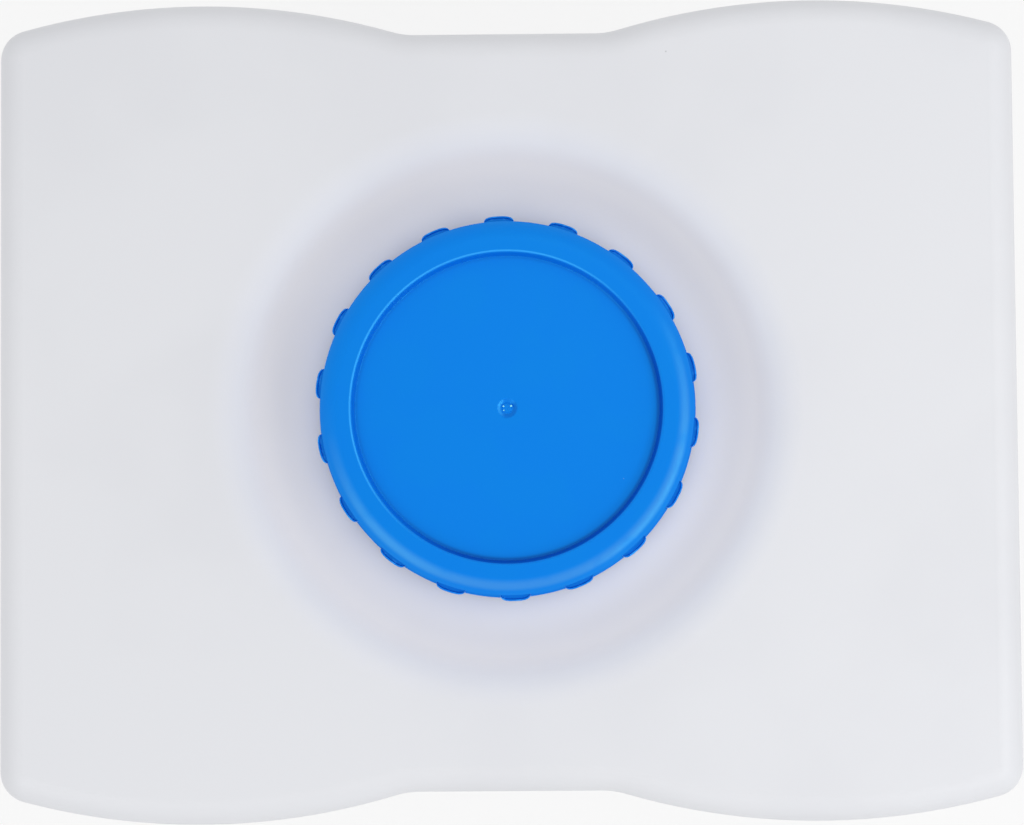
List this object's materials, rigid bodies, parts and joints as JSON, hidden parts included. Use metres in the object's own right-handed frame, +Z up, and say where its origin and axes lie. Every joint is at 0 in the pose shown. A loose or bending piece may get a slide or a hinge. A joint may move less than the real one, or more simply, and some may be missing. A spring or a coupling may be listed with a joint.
{
  "type": "portable water tank",
  "caption": "Portable fresh water tank: a hollow waisted body with a sunken wide screw cap on top and a recessed hand grip at each end.",
  "frame": {"origin": "middle of the base, on the surface that the tank stands on", "axes": "+Z up through the cap, +X along the tank's length with a hand grip at each end, +Y towards the long side that is at the top of the picture"},
  "size_m": [0.29, 0.234, 0.274],
  "materials": {
    "natural_polyethylene": "satin, slightly translucent natural polyethylene",
    "blue_plastic": "semi-gloss moulded blue plastic",
    "seal_rubber": "matt black seal rubber"
  },
  "bodies": {
    "tank": {"tank_body": "natural_polyethylene"},
    "seal": {"cap_seal": "seal_rubber"},
    "cap": {"screw_cap": "blue_plastic"}
  },
  "joints": [
    {"name": "cap_lift", "type": "slide", "parent": "tank", "child": "seal", "axis": [0, 0, 1], "range_m": [0, 0.0075]},
    {"name": "cap_turn", "type": "hinge", "parent": "seal", "child": "cap", "pos_m": [0, 0, 0.265], "axis": [0, 0, 1], "range_deg": [0, 450]}
  ],
  "couplings": [
    {"joint": "cap_lift", "follows": "cap_turn", "m_per_rad": 0.0009549}
  ]
}
